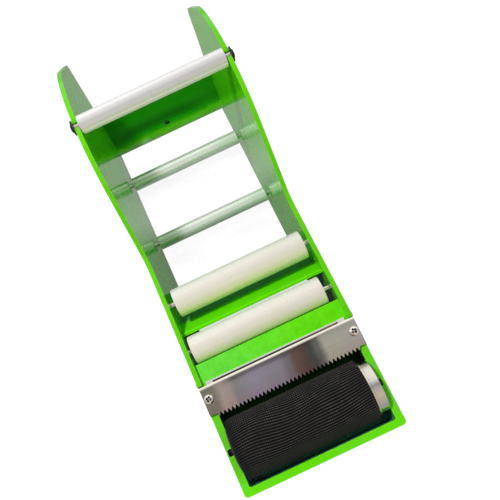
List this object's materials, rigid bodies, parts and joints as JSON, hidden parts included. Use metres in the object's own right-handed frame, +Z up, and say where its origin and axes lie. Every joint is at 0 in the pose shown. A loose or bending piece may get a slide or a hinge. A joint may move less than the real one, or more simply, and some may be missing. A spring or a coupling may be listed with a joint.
{
  "type": "gummed tape dispenser",
  "caption": "Desktop dispenser for water-activated paper tape with humped side plates, wetting roller in a water tank, toothed cutter, guide rollers and a lift-out spindle.",
  "frame": {"origin": "middle of the bounding box on the standing surface", "axes": "+X to the right of someone who looks from the tank towards the tape roll, +Y from the tank towards the tape roll, +Z up"},
  "size_m": [0.1162, 0.347, 0.1733],
  "materials": {
    "green_shell": "bright green moulded plastic, glossy",
    "roller_plastic": "white moulded plastic, satin",
    "plug_plastic": "white moulded plastic, satin",
    "stainless": "polished stainless sheet",
    "bright_steel": "ground bright steel",
    "polished_tube": "polished steel tube",
    "screw_steel": "zinc-plated screws",
    "clip_steel": "dark spring steel, oiled",
    "nickel_ring": "nickel-plated, lightly brushed",
    "dark_core": "dark moulded plastic",
    "sponge": "open-cell sponge",
    "cover_fabric": "black ribbed elastic knit"
  },
  "bodies": {
    "frame": {"left_side_plate": "green_shell", "right_side_plate": "green_shell", "front_panel": "green_shell", "water_tank": "green_shell", "tape_deck": "green_shell", "roll_guard_front": "green_shell", "roll_guard_rear": "green_shell", "throat_guide": "stainless", "cutter_blade": "stainless", "blade_screws": "screw_steel", "frame_screws": "screw_steel", "guide_axle_front": "bright_steel", "guide_axle_rear": "bright_steel", "support_axle_front": "bright_steel", "support_axle_rear": "bright_steel"},
    "spindle_carrier": {"spindle_rod": "bright_steel", "spindle_clips": "clip_steel"},
    "spindle_roller": {"spindle_tube": "roller_plastic", "spindle_plugs": "plug_plastic"},
    "guide_roller_front": {"guide_front_tube": "roller_plastic", "guide_front_plugs": "plug_plastic"},
    "guide_roller_rear": {"guide_rear_tube": "roller_plastic", "guide_rear_plugs": "plug_plastic"},
    "support_roller_front": {"support_front_tube": "polished_tube", "support_front_plugs": "plug_plastic"},
    "support_roller_rear": {"support_rear_tube": "polished_tube", "support_rear_plugs": "plug_plastic"},
    "wetting_carrier": {"wetting_axle": "bright_steel"},
    "wetting_roller": {"wetting_core": "dark_core", "wetting_plug": "dark_core", "wetting_cap": "nickel_ring", "sponge_sleeve": "sponge", "fabric_cover": "cover_fabric"}
  },
  "joints": [
    {"name": "spindle_lift", "type": "slide", "parent": "frame", "child": "spindle_carrier", "axis": [0, 0, 1], "range_m": [0, 0.03]},
    {"name": "spindle_spin", "type": "hinge", "parent": "spindle_carrier", "child": "spindle_roller", "pos_m": [0, 0.079, 0.167], "axis": [1, 0, 0], "continuous": true},
    {"name": "guide_front_spin", "type": "hinge", "parent": "frame", "child": "guide_roller_front", "pos_m": [0, -0.0746, 0.105], "axis": [1, 0, 0], "continuous": true},
    {"name": "guide_rear_spin", "type": "hinge", "parent": "frame", "child": "guide_roller_rear", "pos_m": [0, -0.0399, 0.105], "axis": [1, 0, 0], "continuous": true},
    {"name": "support_front_spin", "type": "hinge", "parent": "frame", "child": "support_roller_front", "pos_m": [0, 0.0365, 0.021], "axis": [1, 0, 0], "continuous": true},
    {"name": "support_rear_spin", "type": "hinge", "parent": "frame", "child": "support_roller_rear", "pos_m": [0, 0.0965, 0.021], "axis": [1, 0, 0], "continuous": true},
    {"name": "wetting_lift", "type": "slide", "parent": "frame", "child": "wetting_carrier", "axis": [0, 0, 1], "range_m": [0, 0.03]},
    {"name": "wetting_spin", "type": "hinge", "parent": "wetting_carrier", "child": "wetting_roller", "pos_m": [0, -0.1446, 0.1065], "axis": [1, 0, 0], "continuous": true}
  ]
}
